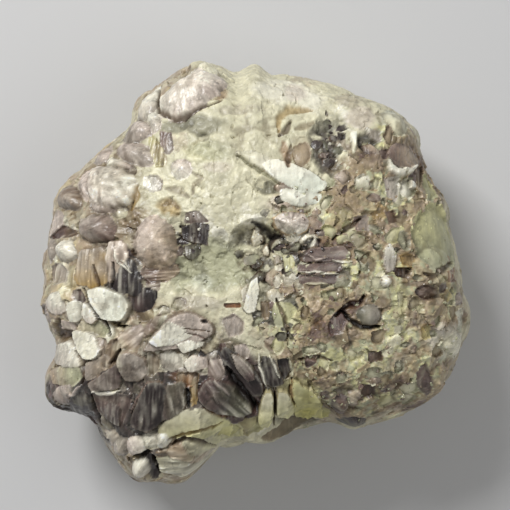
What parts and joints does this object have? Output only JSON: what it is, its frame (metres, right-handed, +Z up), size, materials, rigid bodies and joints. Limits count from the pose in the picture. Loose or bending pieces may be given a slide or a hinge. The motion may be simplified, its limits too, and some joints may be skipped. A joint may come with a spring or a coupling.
{
  "type": "mica crystal specimen",
  "caption": "Hand specimen of ball mica: rounded pearly and violet mica balls, slabs and books grown together with pale feldspar in one stone, on a flat trimmed back.",
  "frame": {"origin": "middle of the flat resting face, under the middle of the bounding box", "axes": "+Z up out of the display face, +X along the longest side, +Y towards the corner ball"},
  "size_m": [0.0963, 0.094, 0.0528],
  "materials": {
    "mica": "pearly mica flakes with dull feldspar between"
  },
  "bodies": {
    "root": {"mica_specimen": "mica"}
  },
  "joints": []
}
